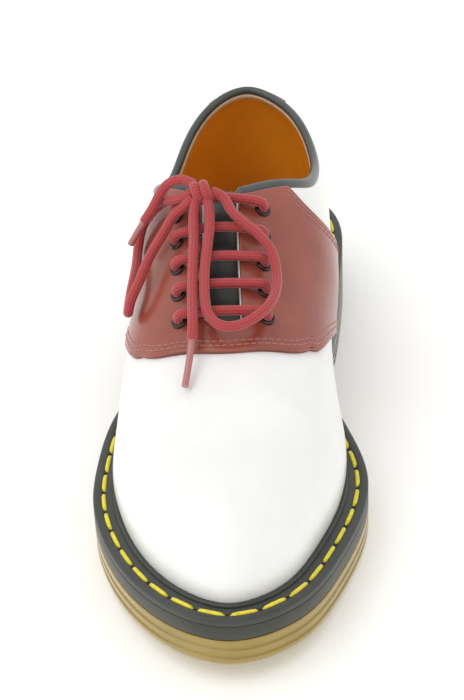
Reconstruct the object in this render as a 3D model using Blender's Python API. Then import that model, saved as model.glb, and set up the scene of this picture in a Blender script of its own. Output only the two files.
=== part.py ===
# Saddle shoe for the right foot: toe towards -Y, heel towards +Y, medial side at +X, standing on Z 0.
import bpy
import bmesh
import numpy as np
from mathutils import Vector

for old in list(bpy.data.objects):
    bpy.data.objects.remove(old, do_unlink=True)

# sole sizes
sole_length = 0.300
ball_width = 0.1074
waist_width = 0.077
heel_width = 0.0825
outsole_thickness = 0.0122
band_thickness = 0.0068
welt_thickness = 0.0032
heel_lift = 0.0100
toe_spring = 0.0090
arch_rise = 0.0035
welt_shelf = 0.0096
welt_reach = 0.0160
stitch_inset = 0.0042
stitch_groove = 0.0008
rib_depth = 0.0006
lug_depth = 0.0018
lug_groove = 0.0028
lug_border = 0.0085
sole_round = 0.0016
band_round = 0.0004
welt_round = 0.0006
insole_thickness = 0.0030
insole_round = 0.0015

# upper sizes, heights measured from the top of the welt
toe_box_height = 0.033
instep_height = 0.076
ankle_height = 0.040
collar_height = 0.060
leather = 0.0020
throat_gap = 0.0135
throat_from_toe = 0.1126
throat_round = 0.0040
tongue_width = 0.0400
tongue_thickness = 0.0020
tongue_overlap = 0.0120
tongue_rise = 0.0040
tongue_gap = 0.0015
overlay = 0.0015
overlay_reach = 0.982
binding_thickness = 0.0037
eyelet_width = 0.0066
eyelet_hole = 0.0038
eyelet_height = 0.0011
eyelet_spread = 0.0161
eyelet_pitch = 0.0116
eyelet_start = 0.0050
lace_thickness = 0.0040
knot_radius = 0.0022

# clearances between two pieces that touch
gap = 0.0003
overlay_gap = 0.0006

# how the upper's surface is divided: rows from welt to edge, how level they run, the collar's lowest place
upper_rows = 12
even_end = 0.62
collar_dip = 0.70

# half outline of the sole, toe to heel
# share of the length, width that the row follows, medial share, lateral share
outline_rows = (
    (0.000, ball_width, 0.045, 0.045),
    (0.018, ball_width, 0.188, 0.106),
    (0.065, ball_width, 0.316, 0.252),
    (0.140, ball_width, 0.410, 0.383),
    (0.240, ball_width, 0.490, 0.476),
    (0.330, ball_width, 0.494, 0.490),
    (0.430, ball_width, 0.408, 0.460),
    (0.520, waist_width, 0.475, 0.545),
    (0.600, waist_width, 0.490, 0.540),
    (0.690, heel_width, 0.490, 0.498),
    (0.800, heel_width, 0.508, 0.492),
    (0.890, heel_width, 0.480, 0.462),
    (0.965, heel_width, 0.312, 0.300),
    (1.000, heel_width, 0.000, 0.000),
)

# top line of the last, toe to heel
# share of the length, height that the row follows, its share, offset of the line as a share of ball width
ridge_rows = (
    (0.127, toe_box_height, 1.00, 0.030),
    (0.233, instep_height, 0.55, 0.005),
    (0.367, instep_height, 0.71, -0.018),
    (0.500, instep_height, 0.94, -0.047),
    (0.600, instep_height, 1.08, -0.057),
    (0.700, instep_height, 1.08, -0.050),
    (0.800, instep_height, 1.00, -0.028),
    (0.900, instep_height, 0.94, -0.020),
)

# fullness of the sections, toe to heel
# share of the length, roundness, medial bulge and lateral bulge as shares of ball width
section_rows = (
    (0.00, 2.3, 0.012, 0.012),
    (0.12, 2.3, 0.016, 0.016),
    (0.24, 2.2, 0.026, 0.026),
    (0.36, 2.2, 0.045, 0.034),
    (0.46, 2.2, 0.112, 0.072),
    (0.56, 2.2, 0.145, 0.100),
    (0.68, 2.2, 0.095, 0.088),
    (0.80, 2.2, 0.056, 0.036),
    (0.90, 2.2, 0.030, 0.022),
    (1.00, 2.2, 0.026, 0.026),
)

# height of the collar edge
# share of the length, height that the row follows, medial share, lateral share
collar_rows = (
    (0.555, instep_height, 1.03, 1.03),
    (0.590, instep_height, 0.98, 0.97),
    (0.640, instep_height, 0.84, 0.80),
    (0.700, ankle_height, 1.36, 1.20),
    (0.760, ankle_height, 1.24, 0.98),
    (0.830, ankle_height, 1.28, 1.05),
    (0.900, collar_height, 0.94, 0.86),
    (0.960, collar_height, 1.01, 1.01),
)

# edges of the saddle on both sides, top line to welt
# share of the way up, front edge, rear edge as shares of the sole's edge from the toe
saddle_rows = (
    (1.00, 0.345, 0.603),
    (0.85, 0.353, 0.597),
    (0.70, 0.366, 0.600),
    (0.62, 0.382, 0.608),
    (0.56, 0.400, 0.616),
    (0.50, 0.423, 0.627),
    (0.42, 0.453, 0.644),
    (0.30, 0.494, 0.675),
    (0.15, 0.527, 0.714),
    (0.00, 0.548, 0.745),
)

# side edge of the heel tab, collar to welt
# share of the way up, half width as a share of the sole's edge
tab_rows = (
    (1.00, 0.078),
    (0.80, 0.066),
    (0.60, 0.056),
    (0.48, 0.046),
    (0.40, 0.030),
    (0.36, 0.006),
)

# one half of a lace bar, eyelet to middle
# distance in from the eyelet and height above the last, in lace thicknesses; the last row is on the top line
bar_rows = (
    (0.00, 0.93),
    (0.05, 1.25),
    (0.50, 1.60),
    (1.30, 1.48),
    (2.50, 1.26),
    (4.00, 1.18),
)

# the bow: share of the sole's edge, turn round the last, height above the last in lace thicknesses
medial_loop_rows = (
    (0.541, 0.013, 2.55),
    (0.524, 0.056, 2.55),
    (0.509, 0.113, 2.62),
    (0.495, 0.174, 2.75),
    (0.476, 0.224, 2.68),
    (0.449, 0.244, 2.50),
    (0.419, 0.232, 2.62),
    (0.387, 0.172, 2.78),
    (0.369, 0.093, 2.50),
    (0.364, 0.014, 2.36),
    (0.377, -0.043, 2.34),
    (0.404, -0.067, 2.35),
    (0.440, -0.068, 2.34),
    (0.476, -0.056, 2.34),
    (0.503, -0.043, 2.40),
    (0.523, -0.039, 2.46),
)
lateral_loop_rows = (
    (0.536, -0.171, 2.58),
    (0.532, -0.225, 2.40),
    (0.518, -0.284, 2.24),
    (0.503, -0.340, 2.18),
    (0.488, -0.386, 2.12),
    (0.465, -0.431, 2.08),
    (0.450, -0.477, 1.94),
    (0.447, -0.523, 1.50),
    (0.471, -0.527, 1.55),
    (0.494, -0.522, 1.56),
    (0.532, -0.538, 1.28),
    (0.559, -0.539, 1.14),
    (0.570, -0.480, 1.41),
    (0.571, -0.406, 1.62),
    (0.565, -0.323, 1.90),
    (0.553, -0.237, 2.56),
    (0.547, -0.172, 2.70),
)
centre_end_rows = (
    (0.526, -0.120, 2.50),
    (0.500, -0.120, 2.44),
    (0.465, -0.120, 2.42),
    (0.429, -0.122, 2.42),
    (0.398, -0.122, 2.42),
    (0.366, -0.123, 2.30),
    (0.346, -0.137, 1.70),
    (0.321, -0.159, 1.10),
    (0.298, -0.182, 0.62),
)
lateral_end_rows = (
    (0.564, -0.155, 3.40),
    (0.566, -0.208, 3.62),
    (0.563, -0.264, 3.38),
    (0.555, -0.319, 3.00),
    (0.546, -0.398, 2.80),
    (0.543, -0.491, 2.55),
)
knot_place = (0.547, -0.070, 2.86)


def smooth(knots, values, at):
    """Value at each place of a natural cubic curve through the knots."""
    knots = np.asarray(knots, float)
    values = np.asarray(values, float)
    step = np.diff(knots)
    rise = np.diff(values) / step
    rows = np.eye(len(knots))
    right = np.zeros(len(knots))
    for k in range(1, len(knots) - 1):
        rows[k, k - 1:k + 2] = step[k - 1], 2 * (step[k - 1] + step[k]), step[k]
        right[k] = 6 * (rise[k] - rise[k - 1])
    bend = np.linalg.solve(rows, right)
    at = np.clip(at, knots[0], knots[-1])
    k = np.clip(np.searchsorted(knots, at) - 1, 0, len(knots) - 2)
    b = (at - knots[k]) / step[k]
    a = 1 - b
    curve = (a ** 3 - a) * bend[k] + (b ** 3 - b) * bend[k + 1]
    return a * values[k] + b * values[k + 1] + curve * step[k] ** 2 / 6


def along(y):
    """Share of the sole's length, 0 at the toe and 1 at the heel."""
    return 0.5 + np.asarray(y) / sole_length


def ease(x):
    """Smooth step from 0 to 1."""
    x = np.clip(x, 0, 1)
    return x * x * (3 - 2 * x)


def closed_outline(samples=480):
    """Outer edge of the sole: from the toe tip by the medial side to the heel tip and back."""
    table = [(a, size * med, size * lat) for a, size, med, lat in outline_rows]
    medial = [(x, (a - 0.5) * sole_length) for a, x, _ in table]
    lateral = [(-x, (a - 0.5) * sole_length) for a, _, x in table[1:-1]]
    points = np.array(medial + lateral[::-1])
    wrap = 4
    looped = np.vstack([points[-wrap:], points, points[:wrap + 1]])
    knots = np.concatenate([[0], np.cumsum(np.sqrt(np.linalg.norm(np.diff(looped, axis=0), axis=1)))])
    first, heel, last = knots[wrap], knots[wrap + len(medial) - 1], knots[wrap + len(points)]
    half = samples // 2
    at = np.concatenate([np.linspace(first, heel, half + 1), np.linspace(heel, last, half + 1)[1:-1]])
    edge = np.column_stack([smooth(knots, looped[:, 0], at), smooth(knots, looped[:, 1], at)])
    return edge - (edge.min(axis=0) + edge.max(axis=0)) / 2


base_outline = closed_outline()


def outward():
    """Outward direction at each sample of the outline."""
    run = np.roll(base_outline, -1, axis=0) - np.roll(base_outline, 1, axis=0)
    out = np.column_stack([run[:, 1], -run[:, 0]])
    return out / np.linalg.norm(out, axis=1)[:, None]


base_outward = outward()


def inset_outline(inset):
    """The sole's outline moved inwards."""
    return base_outline - base_outward * inset


def half_line(side, inset):
    """One side of the outline from toe tip to heel tip, with its outward directions."""
    points = inset_outline(inset)
    half = len(points) // 2
    order = np.arange(half + 1) if side > 0 else -np.arange(half + 1)
    return points[order], base_outward[order]


def half_edge(side, share, inset):
    """Points at shares of one side of the outline, and the outward directions."""
    path, out = half_line(side, inset)
    run = np.concatenate([[0], np.cumsum(np.linalg.norm(np.diff(path, axis=0), axis=1))])
    run /= run[-1]
    place = np.column_stack([np.interp(share, run, path[:, k]) for k in range(2)])
    return place, np.column_stack([np.interp(share, run, out[:, k]) for k in range(2)])


def sole_ring(inset, stations=34):
    """Points round the moved outline, medial and lateral ones in pairs at the same Y."""
    turn = (1 - np.cos(np.pi * np.arange(1, stations) / stations)) / 2
    sides = []
    for side in (1, -1):
        path, _ = half_line(side, inset)
        y = path[0, 1] + turn * (path[-1, 1] - path[0, 1])
        sides.append(np.column_stack([np.interp(y, np.maximum.accumulate(path[:, 1]), path[:, 0]), y]))
    return np.vstack([path[:1], sides[0], path[-1:], sides[1][::-1]])


def spring(y):
    """Height of the sole's underside above the floor towards the toe."""
    start = 0.15 * sole_length
    return toe_spring * np.clip((-np.asarray(y) - start) / (sole_length / 2 - start), 0, 1) ** 2


def heel_rise(y):
    return heel_lift * ease((along(y) - 0.45) / 0.30)


def arch(y):
    """Height of the hollow under the waist."""
    a = along(y)
    return arch_rise * ease((a - 0.46) / 0.08) * ease((0.64 - a) / 0.02)


def ground(y):
    return spring(y) + arch(y)


def outsole_top(y):
    return outsole_thickness + spring(y) + 0.25 * heel_rise(y)


def band_top(y):
    return outsole_thickness + band_thickness + spring(y) + heel_rise(y)


def welt_top(y):
    return band_top(y) + welt_thickness


def spine_y(y):
    """Where on the top line the rib from this place of the edge ends."""
    toe_pull, heel_pull = 0.40, 0.62
    soft = 0.035 * sole_length
    toe, heel = -0.30 * sole_length, 0.22 * sole_length
    toe_part = soft * np.log1p(np.exp((toe - y) / soft))
    heel_part = soft * np.log1p(np.exp((y - heel) / soft))
    return y + (1 - toe_pull) * toe_part - (1 - heel_pull) * heel_part


def ridge(y):
    """Side offset and height of the last's top line."""
    place = [row[0] for row in ridge_rows]
    height = [row[1] * row[2] for row in ridge_rows]
    centre = [row[3] * ball_width for row in ridge_rows]
    a = along(y)
    return smooth(place, centre, a), smooth(place, height, a) + welt_top(y)


def ribs(side, share, up):
    """Points of the last's surface: share runs from toe to heel, up from the welt to the top line."""
    share, up = np.broadcast_arrays(np.asarray(share, float), np.asarray(up, float))
    flat, rise = share.ravel(), up.ravel()
    foot, out = half_edge(side, flat, welt_shelf)
    other, _ = half_edge(-side, flat, welt_shelf)
    end_y = spine_y((foot[:, 1] + other[:, 1]) / 2)
    end_x, end_z = ridge(end_y)
    step = sole_length / 300
    slope = (ridge(end_y + step)[1] - ridge(end_y - step)[1]) / (2 * step)
    a = along(end_y)
    place = [row[0] for row in section_rows]
    power = 2 / smooth(place, [row[1] for row in section_rows], a)
    medial, lateral = (smooth(place, [row[k] for row in section_rows], along(foot[:, 1])) for k in (2, 3))
    apart = ease(np.minimum(flat, 1 - flat) / 0.1)
    bulge = ball_width * ((medial + lateral) / 2 + side * apart * (medial - lateral) / 2)
    turn = rise * np.pi / 2
    inward = 1 - np.clip(np.cos(turn), 0, 1) ** power
    upward = np.sin(turn) ** power
    swell = bulge * 6.75 * rise * (1 - rise) ** 2
    x = foot[:, 0] + (end_x - foot[:, 0]) * inward + out[:, 0] * swell
    y = foot[:, 1] + (end_y - foot[:, 1]) * inward + out[:, 1] * swell
    foot_z = welt_top(foot[:, 1]) + gap
    z = foot_z + (end_z + slope * (y - end_y) - foot_z) * upward
    return np.column_stack([x, y, z]).reshape(share.shape + (3,))


def collar_z(side, y):
    """Height of the collar's edge."""
    place = [row[0] for row in collar_rows]
    medial = smooth(place, [row[1] * row[2] for row in collar_rows], along(y))
    lateral = smooth(place, [row[1] * row[3] for row in collar_rows], along(y))
    mean, tilt = (medial + lateral) / 2, (medial - lateral) / 2
    return mean + side * tilt * ease((0.93 - along(y)) / 0.07) + welt_top(y)


throat_y = throat_from_toe - sole_length / 2


def first_crossing(ups, value):
    """Where the value first falls below zero, or the top."""
    below = np.flatnonzero(value < 0)
    if len(below) == 0 or below[0] == 0:
        return 1.0
    k = below[0]
    return ups[k - 1] + (ups[k] - ups[k - 1]) * value[k - 1] / (value[k - 1] - value[k])


def crossings(side, share):
    """How far up a rib it meets the throat's edge and the collar."""
    ups = np.linspace(0, 1, 181)
    points = ribs(side, np.full(ups.shape, share), ups)
    end_y = points[-1, 1]
    past = (end_y - throat_y) / throat_round
    mouth = throat_gap / 2 * np.clip(past, 0, 1) ** 0.5
    slot = abs(points[:, 0] - ridge(end_y)[0]) - mouth
    rim = collar_z(side, points[:, 1]) - points[:, 2]
    return (first_crossing(ups, slot) if past > 0.01 else 1.0), first_crossing(ups, rim)


def up_at(side, share, across):
    """How far up a rib it comes this near to the top line, seen from above."""
    ups = np.linspace(0, 1, 181)
    points = ribs(side, np.full(ups.shape, share), ups)
    return first_crossing(ups, abs(points[:, 0] - ridge(points[-1, 1])[0]) - across)


def last_point(share, turn):
    """Point of the last: turn runs from -1 at the lateral welt by 0 on the top line to 1 at the medial welt."""
    return ribs(1 if turn > 0 else -1, share, 1 - abs(turn)).reshape(3)


def lifted(share, turn, lift):
    """Point above the last."""
    step = 0.004
    lengthwise = last_point(share + step, turn) - last_point(share - step, turn)
    crosswise = last_point(share, turn + step) - last_point(share, turn - step)
    out = np.cross(crosswise, lengthwise)
    return last_point(share, turn) + out / np.linalg.norm(out) * lift


def share_at(y):
    """Share along the edge whose rib ends at this place of the top line."""
    share = np.linspace(0, 1, 201)
    middle = (half_edge(1, share, welt_shelf)[0][:, 1] + half_edge(-1, share, welt_shelf)[0][:, 1]) / 2
    return np.interp(y, spine_y(middle), share)


def facing_corner(side):
    """Share along the edge of the rib where the throat's edge meets the collar."""
    low, high = share_at(throat_y + throat_round), share_at(0.2 * sole_length)
    for _ in range(24):
        middle = (low + high) / 2
        slot, rim = crossings(side, middle)
        low, high = (middle, high) if slot < rim else (low, middle)
    return (low + high) / 2


corner_share = {side: facing_corner(side) for side in (1, -1)}


def rib_end(side, share):
    """How far up a rib the leather goes."""
    slot, rim = crossings(side, share)
    return slot if share < corner_share[side] else rim


def spread(stops, counts):
    """Evenly spaced values between each pair of stops."""
    parts = [np.linspace(a, b, n, endpoint=False) for a, b, n in zip(stops, stops[1:], counts)]
    return np.concatenate(parts + [[stops[-1]]])


def row_up(end, share_up):
    """Place up a rib of the rows' lines, which run level low down and follow the edge at the top."""
    return share_up * (even_end + (end - even_end) * share_up)


def upper_stations(side):
    stops = [0, share_at(throat_y)] + [share_at(throat_y + throat_round * k) for k in (0.12, 0.45, 1.0)]
    return spread(stops + [corner_share[side], collar_dip, 1], (13, 1, 1, 1, 6, 8, 11))


def upper_grid(side):
    lines = []
    for share in upper_stations(side):
        up = row_up(rib_end(side, share), np.linspace(0, 1, upper_rows + 1))
        lines.append(ribs(side, np.full(up.shape, share), up))
    return lines


def material(name, colour, roughness, metallic=0.0):
    made = bpy.data.materials.new(name)
    made.use_nodes = True
    shader = made.node_tree.nodes["Principled BSDF"]
    shader.inputs["Base Color"].default_value = (*colour, 1)
    shader.inputs["Roughness"].default_value = roughness
    shader.inputs["Metallic"].default_value = metallic
    return made


def add_object(name, shape, finish, sharp=40):
    """Puts a finished bmesh into the scene as one named object."""
    bmesh.ops.triangulate(shape, faces=[f for f in shape.faces if len(f.verts) > 4])
    mesh = bpy.data.meshes.new(name)
    shape.to_mesh(mesh)
    shape.free()
    mesh.shade_smooth()
    mesh.set_sharp_from_angle(angle=np.radians(sharp))
    made = bpy.data.objects.new(name, mesh)
    bpy.context.collection.objects.link(made)
    made.data.materials.append(finish)
    return made


def sheet(grids):
    """Open sheet over grids of points, one grid for each side of the shoe, joined where they meet."""
    shape = bmesh.new()
    for side, lines in grids:
        rows = [[shape.verts.new(point) for point in line] for line in lines]
        for a, b in zip(rows, rows[1:]):
            for k in range(len(a) - 1):
                corners = [a[k], b[k], b[k + 1], a[k + 1]]
                shape.faces.new(corners if side > 0 else corners[::-1])
    bmesh.ops.remove_doubles(shape, verts=shape.verts, dist=1e-6)
    shape.normal_update()
    return shape


def thicken(shape, inner, outer):
    """Closed wall between two distances from an open sheet."""
    wall = bmesh.new()
    low = [wall.verts.new(v.co + v.normal * inner) for v in shape.verts]
    high = [wall.verts.new(v.co + v.normal * outer) for v in shape.verts]
    shape.verts.index_update()
    for face in shape.faces:
        order = [v.index for v in face.verts]
        wall.faces.new([high[k] for k in order])
        wall.faces.new([low[k] for k in reversed(order)])
    for edge in shape.edges:
        if edge.is_boundary:
            loop = edge.link_loops[0]
            a, b = loop.vert.index, loop.link_loop_next.vert.index
            wall.faces.new([high[b], high[a], low[a], low[b]])
    shape.free()
    return wall


def stack(rings, closed=False):
    """Solid through rings of the same count; the ends are capped across, or the last ring meets the first."""
    shape = bmesh.new()
    rows = [[shape.verts.new(point) for point in line] for line in rings]
    count = len(rows[0])
    pairs = list(zip(rows, rows[1:] + rows[:1])) if closed else list(zip(rows, rows[1:]))
    for a, b in pairs:
        for k in range(count):
            n = (k + 1) % count
            shape.faces.new([a[k], a[n], b[n], b[k]])
    if not closed:
        half = count // 2
        for row, up in ((rows[0], False), (rows[-1], True)):
            for k in range(half):
                strip = [row[k], row[k + 1], row[-k - 1], row[-k]]
                strip = [v for n, v in enumerate(strip) if v not in strip[:n]]
                shape.faces.new(strip if up else strip[::-1])
    return shape


def level(points, height):
    return np.column_stack([points, height(points[:, 1])])


def between(low, high, share):
    """Height function part of the way between two others."""
    return lambda y: low(y) + (high(y) - low(y)) * share


def make_outsole():
    """Translucent bottom with ribbed sides, a waist hollow and lug grooves."""
    profile = ((0.00, sole_round), (0.08, 0.25 * sole_round), (0.26, 0.0), (0.30, rib_depth), (0.40, rib_depth),
               (0.44, 0.0), (0.60, 0.0), (0.64, rib_depth), (0.74, rib_depth), (0.78, 0.0), (1.00, 0.0))
    rings = [level(sole_ring(inset), between(ground, outsole_top, share)) for share, inset in profile]
    made = add_object("outsole", stack(rings), material("amber_sole", (0.33, 0.23, 0.07), 0.35))
    cutter = lug_cutter()
    cut = made.modifiers.new("lugs", "BOOLEAN")
    cut.operation = "DIFFERENCE"
    cut.object = cutter
    return made


def lug_cutter():
    """Boxes for the grooves between the lugs, forefoot and heel."""
    shape = bmesh.new()
    path = {side: half_line(side, lug_border)[0] for side in (1, -1)}
    zones = ((0.10, 0.43, 11), (0.70, 0.95, 6))
    for first, last, count in zones:
        for y in (np.linspace(first, last, count) - 0.5) * sole_length:
            x = {side: np.interp(y, path[side][:, 1], path[side][:, 0]) for side in path}
            for left, right in ((x[-1], -lug_groove), (lug_groove, x[1])):
                size = Vector((right - left, lug_groove, 2 * lug_depth))
                place = Vector(((left + right) / 2, y, ground(y)))
                box = bmesh.ops.create_cube(shape, size=1.0)["verts"]
                bmesh.ops.scale(shape, vec=size, verts=box)
                bmesh.ops.translate(shape, vec=place, verts=box)
    mesh = bpy.data.meshes.new("lug_cutter")
    shape.to_mesh(mesh)
    shape.free()
    made = bpy.data.objects.new("lug_cutter", mesh)
    bpy.context.collection.objects.link(made)
    made.hide_render = True
    made.display_type = "WIRE"
    return made


def make_midsole():
    """Dark band between the outsole and the welt."""
    profile = ((0.00, 0.75 * band_round), (0.12, 0.0), (0.90, 0.0), (1.00, band_round))
    low = lambda y: outsole_top(y) + gap
    rings = [level(sole_ring(inset), between(low, band_top, share)) for share, inset in profile]
    return add_object("midsole", stack(rings), material("black_band", (0.030, 0.032, 0.026), 0.45))


def make_welt():
    """Strip all round the upper with a sunk line for the stitches and a bead against the leather."""
    groove = stitch_inset
    profile = ((0.0, 0.0), (0.0, 0.75), (welt_round, 1.0), (groove - stitch_groove, 1.0), (groove, 0.72),
               (groove + stitch_groove, 1.0), (welt_reach, 1.0), (welt_reach, 0.0))
    low = lambda y: band_top(y) + gap
    rings = [level(sole_ring(inset), between(low, welt_top, share)) for inset, share in profile]
    return add_object("welt", stack(rings, closed=True), material("black_welt", (0.035, 0.038, 0.032), 0.5))


def make_insole():
    """Footbed: its underside fills the opening of the welt, its top reaches the upper."""
    inner, outer = welt_reach + gap, welt_shelf + leather + 2 * gap
    low = lambda y: band_top(y) + gap
    floor = lambda y: welt_top(y) + gap
    top = lambda y: welt_top(y) + insole_thickness
    rings = [level(sole_ring(inner), low), level(sole_ring(inner), floor), level(sole_ring(outer), floor),
             level(sole_ring(outer), between(floor, top, 0.7)), level(sole_ring(outer + insole_round), top)]
    return add_object("insole", stack(rings), material("tan_insole", (0.50, 0.26, 0.05), 0.6))


def make_upper():
    """White leather shell, open at the collar, the throat and underneath."""
    shape = sheet([(side, upper_grid(side)) for side in (1, -1)])
    finish = material("white_leather", (0.88, 0.88, 0.86), 0.35)
    return add_object("upper", thicken(shape, -leather, 0.0), finish)


def make_tongue():
    """Black tongue under the throat."""
    first, last = throat_y - tongue_overlap, throat_top_y() + tongue_rise
    grids = []
    for side in (1, -1):
        lines = []
        for share in share_at(np.linspace(first, last, 12)):
            start = up_at(side, share, tongue_width / 2)
            up = start + (1 - start) * np.linspace(0, 1, 5)
            lines.append(ribs(side, np.full(up.shape, share), up))
        grids.append((side, lines))
    high = -leather - tongue_gap
    return add_object("tongue", thicken(sheet(grids), high - tongue_thickness, high), black_leather)


def throat_top_y():
    """Place on the top line where the throat meets the collar."""
    share = np.array([corner_share[1]])
    middle = half_edge(1, share, welt_shelf)[0][0, 1] + half_edge(-1, share, welt_shelf)[0][0, 1]
    return spine_y(middle / 2)


def above_welt(shape):
    """Keeps the foot of an overlay clear of the welt."""
    for v in shape.verts:
        v.co.z = max(v.co.z, float(welt_top(v.co.y)) + gap)
    return shape


def overlay_line(side, shares, share_up):
    """Line of an overlay from the welt up, a little short of the leather's edge."""
    ends = np.array([rib_end(side, share) for share in shares])
    reach = np.where(ends > 0.999, share_up, np.minimum(share_up, overlay_reach))
    return ribs(side, shares, row_up(ends, reach))


def make_saddle():
    """Oxblood overlay over the instep, its two wings joined by a bar in front of the throat."""
    share_up = np.linspace(0, 1, upper_rows + 1)
    heights = [row[0] for row in saddle_rows][::-1]
    front, rear = (np.interp(share_up, heights, [row[k] for row in saddle_rows][::-1]) for k in (1, 2))
    grids = []
    for side in (1, -1):
        stops = [front[-1]] + [share_at(throat_y + throat_round * k) for k in (0, 0.12, 0.45, 1.0)]
        places = spread(stops + [corner_share[side], rear[-1]], (2, 1, 1, 1, 6, 4))
        lines = []
        for c in (places - front[-1]) / (rear[-1] - front[-1]):
            shares = front + (rear - front) * c
            lines.append(overlay_line(side, shares, share_up))
        grids.append((side, lines))
    wall = above_welt(thicken(sheet(grids), overlay_gap, overlay_gap + overlay))
    return add_object("saddle", wall, oxblood)


def make_heel_tab():
    """Oxblood tab with a round bottom at the back."""
    heights = [row[0] for row in tab_rows][::-1]
    share_up = np.append(heights[0], np.arange(5, upper_rows + 1) / upper_rows)
    half = np.interp(share_up, heights, [row[1] for row in tab_rows][::-1])
    grids = []
    for side in (1, -1):
        lines = []
        for c in np.linspace(1, 0, 5):
            shares = 1 - half * c
            lines.append(overlay_line(side, shares, share_up))
        grids.append((side, lines))
    return add_object("heel_tab", thicken(sheet(grids), overlay_gap, overlay_gap + overlay), oxblood)


def tube(name, points, thickness, finish):
    """Round piece along a line of points."""
    curve = bpy.data.curves.new(name, "CURVE")
    curve.dimensions = "3D"
    curve.bevel_depth = thickness / 2
    curve.bevel_resolution = 2
    curve.use_fill_caps = True
    line = curve.splines.new("POLY")
    line.points.add(len(points) - 1)
    for spot, point in zip(line.points, points):
        spot.co = (*point, 1)
    made = bpy.data.objects.new(name, curve)
    bpy.context.collection.objects.link(made)
    made.data.materials.append(finish)
    return made


def along_curve(points, spacing):
    """Evenly spaced points of a smooth curve through the route points."""
    points = np.array(points)
    knots = np.concatenate([[0], np.cumsum(np.linalg.norm(np.diff(points, axis=0), axis=1))])
    at = np.linspace(0, knots[-1], max(2, round(knots[-1] / spacing) + 1))
    return np.column_stack([smooth(knots, points[:, k], at) for k in range(3)])


def make_binding():
    """Rolled edge on the collar, facing corner to facing corner round the heel."""
    rim, out = [], []
    for side in (1, -1):
        shares = [share for share in upper_stations(side) if share > corner_share[side] - 1e-6]
        turns = [side * (1 - rib_end(side, share)) for share in shares]
        edge = [last_point(share, turn) for share, turn in zip(shares, turns)]
        away = [lifted(share, turn, 1.0) - point for share, turn, point in zip(shares, turns, edge)]
        rim += edge if side > 0 else edge[-2::-1]
        out += away if side > 0 else away[-2::-1]
    rim, out = np.array(rim), np.array(out)
    upward = np.cross(out, np.gradient(rim, axis=0))
    upward /= np.linalg.norm(upward, axis=1)[:, None]
    line = rim - out * leather / 2 + upward * (binding_thickness / 2 + overlay_gap)
    return tube("collar_binding", line, binding_thickness, black_leather)


def eyelet_place(side, number):
    """Share along the edge and turn round the last of an eyelet, the lowest pair first."""
    share = share_at(throat_y + eyelet_start + eyelet_pitch * (number - 1))
    return share, side * (1 - up_at(side, share, eyelet_spread))


def make_eyelet(side, number):
    """Flanged ring on the saddle."""
    share, turn = eyelet_place(side, number)
    foot = lifted(share, turn, overlay_gap + overlay + gap)
    axis = Vector(lifted(share, turn, 1.0) - lifted(share, turn, 0.0))
    turned = axis.to_track_quat("Z", "Y")
    profile = ((eyelet_width / 2, 0), (0.92 * eyelet_width / 2, eyelet_height),
               (1.12 * eyelet_hole / 2, eyelet_height), (eyelet_hole / 2, 0))
    sides = 12
    rings = []
    for radius, height in profile:
        angles = 2 * np.pi * np.arange(sides) / sides
        circle = [Vector((radius * np.cos(a), radius * np.sin(a), height)) for a in angles]
        rings.append([Vector(foot) + turned @ point for point in circle])
    name = "eyelet_%s_%d" % ("medial" if side > 0 else "lateral", number)
    return add_object(name, stack(rings, closed=True), black_enamel)


def make_bar(number):
    """Lace across the throat from one eyelet to the other."""
    points = []
    for side in (1, -1):
        share, _ = eyelet_place(side, number)
        half = []
        for inward, height in bar_rows:
            across = eyelet_spread * (1 - inward / bar_rows[-1][0])
            turn = side * (1 - up_at(side, share, across)) if across > 0 else 0.0
            half.append(lifted(share, turn, height * lace_thickness))
        points += half if side > 0 else half[-2::-1]
    return tube("lace_bar_%d" % number, points, lace_thickness, oxblood_lace)


def make_cord(name, rows):
    route = [lifted(share, turn, height * lace_thickness) for share, turn, height in rows]
    return tube(name, along_curve(route, 2.2 * lace_thickness), lace_thickness, oxblood_lace)


def make_knot():
    """Short coil where the loops and ends meet."""
    share, turn, height = knot_place
    centre = Vector(lifted(share, turn, height * lace_thickness))
    axis = Vector(lifted(share, turn + 0.02, height * lace_thickness)) - centre
    turned = axis.to_track_quat("Z", "Y")
    turns, steps = 1.25, 14
    points = []
    for t in np.linspace(-0.5, 0.5, steps):
        angle = 2 * np.pi * turns * t
        advance = t * turns * 1.12 * lace_thickness
        points.append(centre + turned @ Vector((knot_radius * np.cos(angle), knot_radius * np.sin(angle), advance)))
    return tube("lace_knot", points, lace_thickness, oxblood_lace)


black_leather = material("black_leather", (0.020, 0.022, 0.020), 0.5)
oxblood = material("oxblood_leather", (0.24, 0.050, 0.040), 0.3)
black_enamel = material("black_enamel", (0.012, 0.012, 0.012), 0.2)
oxblood_lace = material("oxblood_lace", (0.33, 0.035, 0.045), 0.7)

make_outsole()
make_midsole()
make_welt()
make_insole()
make_upper()
make_tongue()
make_saddle()
make_heel_tab()
make_binding()
for number in range(1, 6):
    make_bar(number)
    for side in (1, -1):
        make_eyelet(side, number)
make_knot()
make_cord("lace_loop_medial", medial_loop_rows)
make_cord("lace_loop_lateral", lateral_loop_rows)
make_cord("lace_end_centre", centre_end_rows)
make_cord("lace_end_lateral", lateral_end_rows)
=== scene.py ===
# Saddle shoe, right foot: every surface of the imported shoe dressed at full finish
import math
import bpy
import bmesh
import numpy as np
from mathutils import Matrix, Vector


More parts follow.
